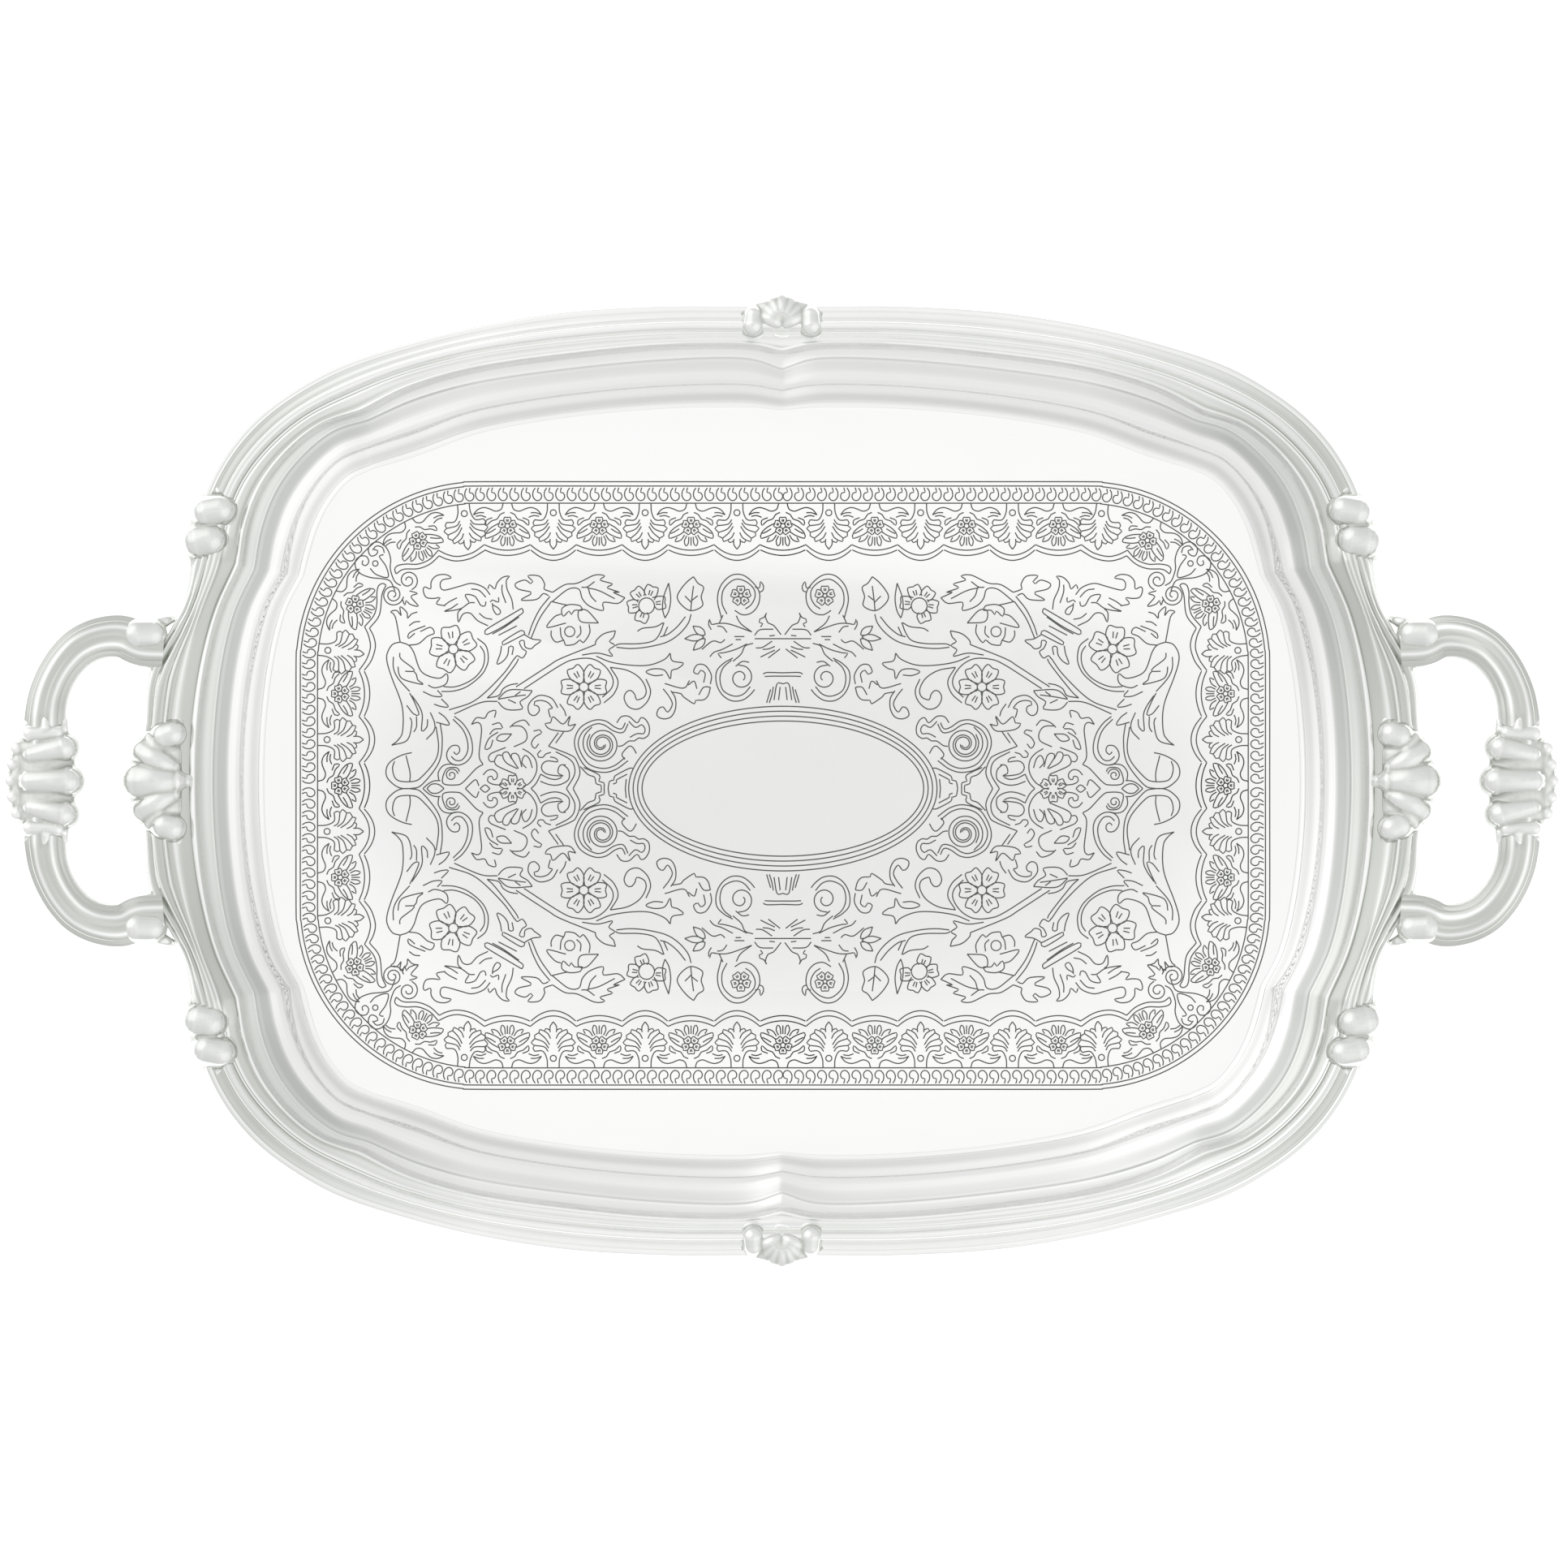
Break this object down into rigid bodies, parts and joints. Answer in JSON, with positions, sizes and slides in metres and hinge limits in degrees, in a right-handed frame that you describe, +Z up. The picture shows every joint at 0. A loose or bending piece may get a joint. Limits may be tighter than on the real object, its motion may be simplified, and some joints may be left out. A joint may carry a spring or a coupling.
{
  "type": "two-handled serving tray",
  "caption": "Oblong plated serving tray with an engraved floor, a shaped moulded border with shell ornaments and loop handles.",
  "frame": {"origin": "centre of the pan's underside, on the table", "axes": "+X along the tray's length to the right handle, +Y to the back, +Z up"},
  "size_m": [0.5, 0.3158, 0.0385],
  "materials": {
    "plated_sheet": "polished silver plate, engraved",
    "plated_border": "polished silver plate over cast metal",
    "plated_handle": "polished silver plate over cast metal",
    "fasteners": "plain, satin"
  },
  "bodies": {
    "root": {"pan": "plated_sheet", "rail_back_left": "plated_border", "rail_front_left": "plated_border", "rail_back_right": "plated_border", "rail_front_right": "plated_border", "end_rail_back_left": "plated_border", "end_rail_front_left": "plated_border", "end_rail_back_right": "plated_border", "end_rail_front_right": "plated_border", "corner_clasp_back_left": "plated_border", "corner_clasp_front_left": "plated_border", "corner_clasp_back_right": "plated_border", "corner_clasp_front_right": "plated_border", "side_shell_back": "plated_border", "side_shell_front": "plated_border", "end_shell_left": "plated_border", "end_shell_right": "plated_border", "handle_left": "plated_handle", "handle_right": "plated_handle", "grip_collar_left": "plated_handle", "grip_collar_right": "plated_handle", "handle_screws": "fasteners", "handle_washers": "fasteners"}
  },
  "joints": []
}
